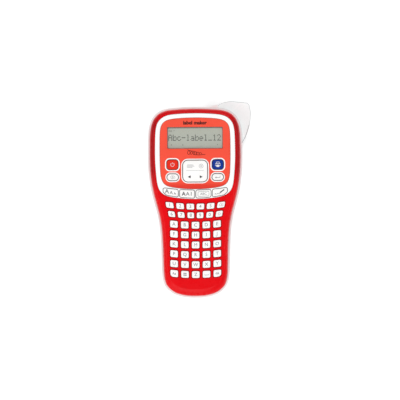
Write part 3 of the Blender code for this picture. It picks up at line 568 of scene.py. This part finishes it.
buttons = {  # middle, size, corner, finish, width of the white surround
    "power_key": ((-23.9, 39.8), (11.7, 10.1), 3.0, "red_key", 1.5),
    "print_key": ((23.9, 39.8), (11.7, 10.1), 3.0, "blue_key", 1.5),
    "preview_key": ((-23.7, 26.6), (11.7, 6.8), 3.3, "white_key", 1.3),
    "enter_key": ((23.7, 26.6), (11.7, 6.8), 3.3, "white_key", 1.3),
    "direction_pad": ((0.0, 33.0), (25.8, 22.5), 5.2, "white_key", 1.3),
}


def buttonLoop(name, grow=0.0):
    middle, size, corner = buttons[name][:3]
    return softRect(middle, (size[0] + 2 * grow, size[1] + 2 * grow), corner + grow, steps=9)


def facePanel():
    # flat across between the panel's edge and the display's window, with a small chamfer at both
    outer = evenLoop(smoothLoop(panelHalf), 68, (90, 90))
    (x, y), size = windowLook["middle"], windowLook["size"]
    hole = np.roll(softRect((x, y), size, windowLook["corner"]), -6, axis=0)
    window = evenLoop(np.vstack([[(x, y + size[1] / 2)], hole]), 68, (90, 90))
    top, bottom = onFront(panelLook["proud"]), onFront(-panelLook["depth"])
    rings = [ringOn(outer, bottom), ringOn(outer, top, 0.25)]
    rings += [ringOn(loop, top) for loop in between(insetLoop(outer, 0.25), insetLoop(window, -0.3), 24)]
    rings += [ringOn(window, top, 0.3), ringOn(window, bottom)]
    gap, flare = panelLook["hole"], panelLook["flare"]
    holes = [flaredCut(lambda grow, n=n: buttonLoop(n, gap + flare * grow), 40) for n in buttons]
    below = (panelLook["deepBelow"] - np.array(rings)[:, :, 1]) / panelLook["deepOver"]
    lower = panelLook["deepest"] * np.clip(below, 0, 1)  # painted shade: the lower strip is a darker coral
    shape = fromRings(rings, rowsClose=True)
    cuts = [joinShapes(holes)]
    piece = addPiece("facePanel", shape, "coral_panel", "housing", cuts, deepTone=lower)
    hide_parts("face_panel")


def surrounds():  # white rings round the buttons: half a wave high between two loops
    for name, look in buttons.items():
        inside = buttonLoop(name, surroundLook["inside"])
        bands = between(buttonLoop(name, surroundLook["gap"] + look[4]), inside, 7)
        swell = surroundLook["swell"] * np.sin(np.linspace(0, math.pi, 7))
        rings = [ringOn(loop, onFront(0.05 + high)) for loop, high in zip(bands, swell)]
        rings += [ringOn(bands[-1], onFront(-0.2)), ringOn(bands[0], onFront(-0.2))]
        addPiece(name + "Surround", fromRings(rings, rowsClose=True), "white_shell", "housing")


gasketLook = {"under": 0.45, "thick": 0.4, "inside": -0.06, "outside": (0.5, 0.6), "padSkirt": (-0.3, 0.13)}


def gaskets():
    # a thin dark seal in each gap: a flat band between two loops round the button, a little below the front;
    # its near-black is partly painted shade in the gap
    look = gasketLook
    top, low = onFront(-look["under"]), onFront(-look["under"] - look["thick"])

    def band(inside, outside):
        rings = [ringOn(outside, low), ringOn(outside, top), ringOn(inside, top), ringOn(inside, low)]
        return fromRings(rings, rowsClose=True)

    inside, (atButtons, atStyles) = look["inside"], look["outside"]
    names = [name for name in buttons if name != "direction_pad"]
    shapes = [band(buttonLoop(name, inside), buttonLoop(name, atButtons)) for name in names]
    shapes += [band(styleLoop(x, inside), styleLoop(x, atStyles)) for x in styleKeys["centres"]]
    addPiece("keyGaskets", joinShapes(shapes), "seal_and_gap_shade", "housing")
    skirt = band(*(buttonLoop("direction_pad", grow) for grow in look["padSkirt"]))  # tilts with the pad
    addPiece("padSkirt", skirt, "seal_and_gap_shade", "direction_pad")


bezelRing()
facePanel()
surrounds()
gaskets()
print("bezel, panel and gaskets made")

# lettering and pictograms: thin prints that follow the surface below them

printing = {"thick": 0.03, "above": 0.025}


def onSurface(points, height):
    z = height(points[:, 0], points[:, 1]) + printing["above"] + points[:, 2]
    return np.column_stack([points[:, :2], z])


def lettering(text, middle, size, height, slope=0.0, bold=0.0):
    curve = bpy.data.curves.new("letters", "FONT")
    curve.body, curve.size, curve.extrude, curve.offset = text, size, printing["thick"], bold
    curve.align_x, curve.align_y, curve.resolution_u = "CENTER", "CENTER", 3
    holder = bpy.data.objects.new("letters", curve)
    scene.collection.objects.link(holder)
    mesh = bpy.data.meshes.new_from_object(holder.evaluated_get(bpy.context.evaluated_depsgraph_get()))
    points = np.empty(len(mesh.vertices) * 3)
    mesh.vertices.foreach_get("co", points)
    points = points.reshape(-1, 3)
    faces = [list(face.vertices) for face in mesh.polygons]
    bpy.data.objects.remove(holder, do_unlink=True)
    bpy.data.curves.remove(curve)
    x, y = points[:, 0], points[:, 1]
    placed = np.column_stack([middle[0] + x, middle[1] + y + slope * x, points[:, 2]])
    return onSurface(placed, height), faces


def stroke(path, width, height, closed=False):
    # a flat strip of that width along a path: each station has four corners, and open ends are capped
    path = np.array(path, float)
    along = np.roll(path, -1, axis=0) - np.roll(path, 1, axis=0)
    if not closed:
        along[0], along[-1] = path[1] - path[0], path[-1] - path[-2]
    along /= np.linalg.norm(along, axis=1, keepdims=True)
    side = np.stack([-along[:, 1], along[:, 0]], axis=1) * width / 2
    thick = printing["thick"]
    corners = [(side, -thick), (side, thick), (-side, thick), (-side, -thick)]
    points = np.stack([ring(path + shift, z) for shift, z in corners], axis=1)
    faces = gridQuads(len(path), 4, closed).tolist()
    if not closed:
        last = 4 * (len(path) - 1)
        faces += [[3, 2, 1, 0], [last, last + 1, last + 2, last + 3]]
    return onSurface(points.reshape(-1, 3), height), faces


def arc(middle, radius, start, end, steps=14):
    angle = np.radians(np.linspace(start, end, steps))
    return np.stack([middle[0] + radius * np.cos(angle), middle[1] + radius * np.sin(angle)], axis=1)


def patch(corners, height):  # a filled polygon
    loop = np.array(corners, float)
    points, faces = prismShape(loop, -printing["thick"], printing["thick"])
    return onSurface(points, height), faces


def addPrint(name, shapes, ink, body):
    return addPiece(name, joinShapes(shapes), ink, body, crease=20)


# keys


def capShape(loop, low, height, edge, steps=5):
    # up the side, round the top edge by a quarter circle, then shrinking to the middle of the top
    middle = loop.mean(axis=0)
    turn = np.linspace(0, math.pi / 2, steps)
    rings = [ring(middle + 0 * loop, low), ring(loop, low)]
    for a in turn:
        rings.append(ringOn(insetLoop(loop, edge * (1 - math.cos(a))), height, edge * (1 - math.sin(a))))
    top = insetLoop(loop, edge)
    rings += [ringOn(middle + (top - middle) * share, height) for share in (0.85, 0.65, 0.4, 0.2, 0.0)]
    return fromRings(rings)


def dishedTop(middle, size, proud, dish):
    # the front's height plus the key's own, less a dish that is deepest in the middle
    def height(x, y):
        away = ((x - middle[0]) / (size[0] / 2)) ** 2 + ((y - middle[1]) / (size[1] / 2)) ** 2
        return frontZ(x, y) + proud - dish * (1 - np.clip(away, 0, 1))
    return height


def smallMark(sign, middle, height, slope):
    # pictograms of the keys that aren't a letter or a digit
    cx, cy = middle

    def at(points):
        return [(cx + x, cy + y + slope * x) for x, y in points]

    if sign == "<":  # erase
        box = at([(-2.3, 0), (-1.0, 1.2), (2.2, 1.2), (2.2, -1.2), (-1.0, -1.2)])
        marks = [stroke(box, 0.3, height, closed=True), stroke(at([(0, 0.6), (1.3, -0.6)]), 0.28, height)]
        return marks + [stroke(at([(0, -0.6), (1.3, 0.6)]), 0.28, height)]
    if sign == ">":  # shift
        box = at([(0, 1.5), (1.6, 0.1), (0.7, 0.1), (0.7, -1.3), (-0.7, -1.3), (-0.7, 0.1), (-1.6, 0.1)])
        return [stroke(box, 0.3, height, closed=True)]
    if sign == "_":  # space
        return [stroke(at([(-2.0, 0.3), (-2.0, -0.8), (2.0, -0.8), (2.0, 0.3)]), 0.4, height)]
    if sign == "#":  # a grid of tiles
        tiles = [(-1.6, 0.2), (0.2, 0.2), (-1.6, -1.6), (0.2, -1.6)]
        return [patch(at([(x, y), (x + 1.4, y), (x + 1.4, y + 1.4), (x, y + 1.4)]), height) for x, y in tiles]
    text = {"a": "Aa", "@": "é&"}.get(sign, sign)
    size = 3.6 if len(text) > 1 else 4.9
    bold = 0.0 if sign == "M" else 0.04  # a bolder M closes up
    return [lettering(text, middle, size, height, slope, bold)]


def webShape(row):  # the strip under a row's keys: it bends up with the square of x
    middle, columns, size, _, _ = keyRows[row]
    reach, rise = columns[-1] + size[0] / 2 + keyLook["webReach"], size[1] / 2 + keyLook["webReach"]
    x = np.linspace(-reach, reach, 13)
    low = np.column_stack([x, middle + keyLook["bend"] * x * x - rise])
    high = np.column_stack([x, middle + keyLook["bend"] * x * x + rise])[::-1]
    return prismShape(np.concatenate([low, high]), *keyLook["webZ"])


def skirtShape(row, x):  # a flat band round a key, under the front, that fills its gap; its dark red is partly the mat's own and partly painted shade in the gap
    top, low = onFront(-skirtLook["under"]), onFront(-skirtLook["under"] - skirtLook["thick"])
    wide, slim = keyLoop(row, x, skirtLook["reach"]), keyLoop(row, x, -skirtLook["inside"])
    rings = [ringOn(slim, low), ringOn(wide, low), ringOn(wide, top), ringOn(slim, top)]
    return fromRings(rings, rowsClose=True)


def keyRow(row):
    middle, columns, size, _, signs = keyRows[row]
    caps, marks, skirts = [], [], [webShape(row)]
    low = keyLook["webZ"][1] - 0.1
    for x, sign in zip(columns, signs):
        place = (x, middle + keyLook["bend"] * x * x)
        height = dishedTop(place, size, keyLook["proud"], keyLook["dish"])
        caps.append(capShape(keyLoop(row, x, -keyLook["slim"]), low, height, keyLook["edge"]))
        marks += smallMark(sign, place, height, 2 * keyLook["bend"] * x)
        skirts.append(skirtShape(row, x))
    piece = addPiece(row + "_caps", joinShapes(caps), "white_key", row)
    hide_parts(row)
    # the mat in the gaps: its dark red is partly the mat's own and partly painted shade
    addPiece(row + "_mat", joinShapes(skirts), "key_mat_and_shade", row)
    addPrint(row + "_legends", marks, "grey_ink", row)


for row in keyRows:
    keyRow(row)
print("character keys made")

buttonLook = {
    "proud": 1.2, "edge": 0.6, "slim": 0.12, "flange": 0.75, "flangeZ": (39.4, 40.4), "floor": 40.3,
    "padFloor": 45.4,
}


def button(name, low):
    middle, _, _, finish, _ = buttons[name]
    base = onFront(buttonLook["proud"])
    shapes = [capShape(buttonLoop(name, -buttonLook["slim"]), low, base, buttonLook["edge"], 7)]
    if name != "direction_pad":
        shapes.append(prismShape(buttonLoop(name, buttonLook["flange"]), *buttonLook["flangeZ"]))
    piece = addPiece(name + "_cap", joinShapes(shapes), finish, name)
    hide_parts(name)
    return middle, base


def around(middle, points):  # points given from a middle
    return [(middle[0] + x, middle[1] + y) for x, y in points]


def powerKey():  # a broken ring and a bar
    middle, height = button("power_key", buttonLook["floor"])
    bar = around(middle, [(0, 0.5), (0, 2.4)])
    marks = [stroke(arc(middle, 1.9, 125, 415, 22), 0.42, height), stroke(bar, 0.42, height)]
    addPrint("powerMark", marks, "pale_ink", "power_key")


def printKey():  # a small printer: its body, the sheet that comes out and the lid
    middle, height = button("print_key", buttonLook["floor"])
    tray = around(middle, [(-2.6, -1.2), (-2.6, 0.9), (2.6, 0.9), (2.6, -1.2)])
    sheet = around(middle, [(-1.5, -2.6), (1.5, -2.6), (1.5, -0.3), (-1.5, -0.3)])
    lid = around(middle, [(-1.5, 0.9), (-1.5, 2.6), (1.5, 2.6), (1.5, 0.9)])
    marks = [stroke(tray, 0.55, height, closed=True), patch(sheet, height), stroke(lid, 0.5, height)]
    addPrint("printMark", marks, "pale_ink", "print_key")


def previewKey():  # an eye
    middle, height = button("preview_key", buttonLook["floor"])
    below, above = around(middle, [(0, -1.6), (0, 1.6)])
    marks = [stroke(arc(below, 3.2, 35, 145), 0.3, height), stroke(arc(above, 3.2, 215, 325), 0.3, height)]
    marks.append(stroke(arc(middle, 0.8, 0, 345, 14), 0.4, height, closed=True))
    addPrint("previewMark", marks, "grey_ink", "preview_key")


def enterKey():  # a hooked arrow
    middle, height = button("enter_key", buttonLook["floor"])
    hook = around(middle, [(2.4, 1.4), (2.4, -0.5), (-1.6, -0.5)])
    head = around(middle, [(-2.9, -0.5), (-1.4, -1.5), (-1.4, 0.5)])
    marks = [stroke(hook, 0.5, height), patch(head, height)]
    addPrint("enterMark", marks, "grey_ink", "enter_key")


def directionPad():
    # an arrowhead at each side, then a faint line across, three short lines and a crossed ring
    middle, height = button("direction_pad", buttonLook["padFloor"])
    arrows = []
    for s in (1, -1):
        head = [(s * 7.8, -6.1), (s * 4.8, s * 1.5 - 6.1), (s * 4.8, -s * 1.5 - 6.1)]
        arrows.append(patch(around(middle, head), height))
    addPrint("padArrows", arrows, "dark_ink", "direction_pad")
    marks = [stroke(around(middle, [(-9.2, 0.6), (9.2, 0.6)]), 0.25, height)]
    for y, reach in ((6.4, 6.5), (5.2, 7.5), (4.0, 5.5)):
        marks.append(stroke(around(middle, [(-8.4, y), (reach - 8.4, y)]), 0.45, height))
    marks.append(stroke(arc(*around(middle, [(6.3, 5.2)]), 2.1, 0, 348, 20), 0.32, height, closed=True))
    for s in (1, -1):
        marks.append(stroke(around(middle, [(5.4, 5.2 - s * 0.9), (7.2, 5.2 + s * 0.9)]), 0.32, height))
    addPrint("padMarks", marks, "grey_ink", "direction_pad")


def styleKey(number, x0):
    name = f"style_key_{number}"
    loop = styleLoop(x0)
    base = onFront(styleKeys["proud"])
    low, high = buttonLook["flangeZ"]
    shapes = [capShape(insetLoop(loop, buttonLook["slim"]), high - 0.1, base, styleKeys["edge"])]
    shapes.append(prismShape(insetLoop(loop, -buttonLook["flange"]), low, high))
    piece = addPiece(name + "_cap", joinShapes(shapes), "white_key", name)
    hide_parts(name)
    cy = styleKeys["middle"] + styleKeys["rise"] * x0 * x0
    slope = 2 * styleKeys["rise"] * x0
    if number == 1:  # three sizes of one letter
        marks = [lettering("A", (x0 + dx, cy + dy + slope * dx), size, base, slope, 0.03)
                 for dx, dy, size in ((-3.9, 0.4, 6.2), (0.7, -0.3, 4.6), (4.4, -0.6, 3.4))]
    elif number == 2:  # a bold letter, a plain one and a bar
        marks = [lettering(letter, (x0 + dx, cy), 5.6, base, slope, bold)
                 for letter, dx, bold in (("A", -3.6, 0.14), ("A", 0.6, 0.02), ("I", 4.3, 0.05))]
    elif number == 3:  # framed text
        frameLoop = softRect((x0, cy), (11.6, 5.0), 1.2, slope)
        marks = [stroke(frameLoop, 0.4, base, closed=True)]
        marks.append(lettering("ABC", (x0, cy), 3.6, base, slope, 0.03))
    else:  # a pencil over a wavy line
        x = np.linspace(-5.4, 0.8, 22)
        wave = np.column_stack([x0 + x, cy - 1.3 + 0.55 * np.sin(x * 2.4) + slope * x])
        body = around((x0, cy), [(-0.4, -1.0), (0.9, -0.7), (4.9, 2.3), (4.2, 3.1), (0.1, 0.2)])
        marks = [stroke(wave, 0.35, base), patch(body, base)]
    addPrint(name + "_mark", marks, "dark_grey_ink" if number != 3 else "grey_ink", name)


powerKey()
printKey()
previewKey()
enterKey()
directionPad()
for number, x0 in enumerate(styleKeys["centres"], 1):
    styleKey(number, x0)
print("function keys made")

# the display's dots and the panel's prints

dotRows = {  # seven rows of five dots, from the top, each row as a number whose bits are its dots
    "A": (14, 17, 17, 31, 17, 17, 17), "b": (16, 16, 22, 25, 17, 17, 30), "c": (0, 0, 14, 16, 16, 17, 14),
    "-": (0, 0, 0, 31, 0, 0, 0), "l": (12, 4, 4, 4, 4, 4, 14), "a": (0, 0, 14, 1, 15, 17, 15),
    "e": (0, 0, 14, 17, 31, 16, 14), "_": (0, 0, 0, 0, 0, 0, 31), "1": (4, 12, 4, 4, 4, 4, 14),
    "2": (14, 17, 1, 2, 4, 8, 31),
}
displayLook = {
    "text": "Abc-label_12", "left": -27.9, "top": 71.4, "pitch": (0.777, 0.93), "dot": (0.72, 0.86),
    "smallTexts": (("Aa", -27.6), ("-", -22.6)), "smallTop": 76.6, "smallPitch": (0.30, 0.32),
    "smallDot": (0.26, 0.28), "pointers": (-25.5, -13.5, 23.0), "dotZ": (47.40, 47.45),
}
# painted shadow of the display's recess: the outer box, the shifted inner box, the corner and the height
recessShadowLook = {
    "outside": (60.4, 24.8), "middle": (0.25, 67.55), "inside": (57.1, 20.9), "corner": 1.2,
    "z": (47.42, 47.6),
}


def dotLetters(text, left, top, pitch, dot):
    # one thin tile for each dot that is on: columns step by pitch x and rows by pitch y
    shapes = []
    for place, letter in enumerate(text):
        for line, bits in enumerate(dotRows[letter]):
            for column in range(5):
                if bits >> (4 - column) & 1:
                    x = left + (place * 6 + column) * pitch[0]
                    y = top - line * pitch[1]
                    tile = [(x, y - dot[1]), (x + dot[0], y - dot[1]), (x + dot[0], y), (x, y)]
                    shapes.append(prismShape(tile, *displayLook["dotZ"]))
    return shapes


def displayDots():
    look = displayLook
    shapes = dotLetters(look["text"], look["left"], look["top"], look["pitch"], look["dot"])
    for text, left in look["smallTexts"]:
        shapes += dotLetters(text, left, look["smallTop"], look["smallPitch"], look["smallDot"])
    for x in look["pointers"]:  # small pointers along the lower edge
        shapes.append(prismShape([(x, 60.2), (x + 1.3, 60.2), (x + 0.65, 61.3)], *look["dotZ"]))
    addPiece("displayDots", joinShapes(shapes), "pixel_ink", "housing")
    # painted shadow of the window's recess: a dark band at the window's upper and left sides, between two
    # boxes
    outer = softRect(windowLook["middle"], recessShadowLook["outside"], windowLook["corner"])
    inner = softRect(recessShadowLook["middle"], recessShadowLook["inside"], recessShadowLook["corner"])
    low, high = recessShadowLook["z"]
    shadowBand = [ring(outer, low), ring(outer, high), ring(inner, high), ring(inner, low)]
    addPiece("displayRecessShadow", fromRings(shadowBand, rowsClose=True), "recess_shadow_grey", "housing")


wordLook = {"text": "label maker", "y": 83.7, "size": 5.3, "bold": 0.12, "strikes": (-0.09, 0.09)}
flourishLook = {
    "start": (-8.0, 52.9), "travel": (15, -1.6), "turns": 5.5, "reach": 2.4, "shrink": 0.75, "squash": 0.9,
    "width": 0.5, "underline": [(-1.5, 50.2), (4, 49.9), (10.8, 50.4)],
}


def panelWord():  # struck twice, a little apart in place and height, for weight
    look, word = wordLook, []
    for shift in look["strikes"]:
        height = onFront(panelLook["proud"] + shift / 9)
        word.append(lettering(look["text"], (shift, look["y"]), look["size"], height, 0, look["bold"]))
    addPrint("panelWord", word, "dark_ink", "housing")


def penFlourish():
    # a line across plus a circling that shrinks as it goes, and a stroke below
    look, height = flourishLook, onFront(panelLook["proud"])
    (x, y), (along, down) = look["start"], look["travel"]
    t = np.linspace(0, 1, 140)
    turn, reach = t * look["turns"] * 2 * math.pi, look["reach"] * (1 - look["shrink"] * t)
    curlX = x + along * t + look["squash"] * reach * np.sin(turn)
    curl = np.column_stack([curlX, y + down * t + reach * np.cos(turn)])
    marks = [stroke(curl, look["width"], height), stroke(look["underline"], look["width"], height)]
    addPrint("penFlourish", marks, "red_ink", "housing")


displayDots()
panelWord()
penFlourish()
print("display and prints made")

# cutter lever

leverLook = {"low": 8.5, "high": 19.5, "edge": 1.4, "pin": (26.0, 91.0), "bore": 1.8, "sections": 90}
leverOuter = [
    (24.3, 102.6), (29.1, 105.2), (37.6, 107.0), (50.2, 105.6), (55.6, 104.9), (57.8, 103.0), (59.4, 93.7),
    (58.7, 86), (57.6, 79.8), (53.8, 68.8), (49.9, 62.0),
]
leverInner = [
    (23.6, 95.0), (22.1, 93.0), (22.2, 89.0), (24.5, 87.0), (24.5, 82.6), (27.2, 82.6), (28.2, 84.5),
    (30.6, 87), (35, 85), (40.6, 78.5), (44.2, 69.5), (46.6, 60.6),
]


def evenPath(corners, count):  # even steps along a line of corners
    line = np.array(corners, float)
    run = np.concatenate([[0], np.cumsum(np.linalg.norm(np.diff(line, axis=0), axis=1))])
    places = np.linspace(0, run[-1], count)
    return np.stack([np.interp(places, run, line[:, k]) for k in (0, 1)], axis=1)


def softPath(corners, count, rounds=3):  # corners cut a few times, ends kept
    line = np.array(corners, float)
    for _ in range(rounds):
        first, second = line[:-1], line[1:]
        cut = np.stack([0.85 * first + 0.15 * second, 0.15 * first + 0.85 * second], axis=1).reshape(-1, 2)
        line = np.vstack([line[:1], cut, line[-1:]])
    return evenPath(line, count)


def cutterLever():
    # sections across from the inner line to the outer one, each a flat bar with rounded outer shoulders
    outer, inner = softPath(leverOuter, leverLook["sections"]), evenPath(leverInner, leverLook["sections"])
    low, high, edge = leverLook["low"], leverLook["high"], leverLook["edge"]
    turn = np.linspace(0, math.pi / 2, 6)
    across = outer - inner
    reach = np.linalg.norm(across, axis=1, keepdims=True)
    across = across / reach
    middle = inner + across * (reach - edge) * 0.5
    rows = [(inner, low), (middle, low)]
    rows += [(outer - across * edge * (1 - math.sin(a)), low + edge * (1 - math.cos(a))) for a in turn]
    rows += [(outer - across * edge * (1 - math.cos(a)), high - edge * (1 - math.sin(a))) for a in turn]
    rows += [(middle, high), (inner, high)]
    sections = np.stack([ring(points, z) for points, z in rows], axis=1)
    count = sections.shape[1]
    last = count * (len(sections) - 1)
    faces = gridQuads(len(sections), count).tolist()
    line = np.zeros(count)
    line[7:12] = 0.15, 0.9, 0.9, 0.9, 0.3  # painted shade: the steep part of the upper shoulder is a greyer line
    line = np.tile(line, (len(sections) - 1, 1))
    line[-25:, 8:13] = 1.0  # painted shade: the thumb's stretch, near the tip, is greyer still
    line = np.append(line.ravel(), (0, 0))  # the two ends have the plain tone
    faces += [list(range(count))[::-1], list(range(last, last + count))]
    bore = prismShape(arc(leverLook["pin"], leverLook["bore"], 0, 345, 24), low - 2, high + 2)
    shape, cuts = (sections.reshape(-1, 3), faces), [bore]
    piece = addPiece("cutterLever", shape, "lever_white", "cutter_lever", cuts, deepTone=line)
    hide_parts("cutter_lever")


cutterLever()
print("lever made")

# stage, light and camera

stageLook = {  # the frame is the width seen at the face's height; the long lens keeps depth from shrinking
    "floor": (0.97, 0.97, 0.97), "floorReach": 6.0, "floorZ": -0.0002, "glow": 0.14, "world": 0.5,
    "frame": 421.0, "lens": 560.0, "sensor": 36.0, "face": 48.0, "aim": (4.9, 2.5), "roll": -0.35,
}
lamps = {  # place in metres, power, size
    "foot": ((-0.3, -1.2, 1.0), 11.5, 1.4), "head": ((0.2, 0.9, 1.3), 5.2, 0.8),
    "left": ((-1.0, 0, 1.2), 4.4, 0.8), "right": ((1.0, 0.1, 1.2), 3.8, 0.8),
}

floorMesh = bpy.data.meshes.new("floor")
far, floorZ = stageLook["floorReach"], stageLook["floorZ"]
floorCorners = [(x * far, y * far, floorZ) for x, y in ((-1, -1), (1, -1), (1, 1), (-1, 1))]
floorMesh.from_pydata(floorCorners, [], [(0, 1, 2, 3)])
floor = bpy.data.objects.new("floor", floorMesh)
scene.collection.objects.link(floor)
floorMaterial, _, _, floorShader, _ = newMaterial("floorPaper")
floorShader.inputs["Base Color"].default_value = (*stageLook["floor"], 1)
floorShader.inputs["Roughness"].default_value = 0.9
floorShader.inputs["Specular IOR Level"].default_value = 0.1
floorShader.inputs["Emission Color"].default_value = (1, 1, 1, 1)
floorShader.inputs["Emission Strength"].default_value = stageLook["glow"]
floorMesh.materials.append(floorMaterial)

world = bpy.data.worlds.new("studio")
scene.world = world
world.use_nodes = True
world.node_tree.nodes["Background"].inputs["Color"].default_value = (1, 1, 1, 1)
world.node_tree.nodes["Background"].inputs["Strength"].default_value = stageLook["world"]

for name, (place, power, size) in lamps.items():
    lamp = bpy.data.lights.new(name, "AREA")
    lamp.energy, lamp.size = power, size
    holder = bpy.data.objects.new(name, lamp)
    holder.location = place
    holder.rotation_euler = Vector(place).to_track_quat("Z", "Y").to_euler()  # a lamp shines along its own -Z
    scene.collection.objects.link(holder)

camera = bpy.data.cameras.new("camera")
camera.lens = stageLook["lens"]
eye = bpy.data.objects.new("camera", camera)
distance = stageLook["frame"] * stageLook["lens"] / stageLook["sensor"]
eye.location = (stageLook["aim"][0] * mm, stageLook["aim"][1] * mm, (stageLook["face"] + distance) * mm)
eye.rotation_euler = (0, 0, math.radians(stageLook["roll"]))
scene.collection.objects.link(eye)
scene.camera = eye
scene.view_settings.view_transform = "Standard"
print("stage set")
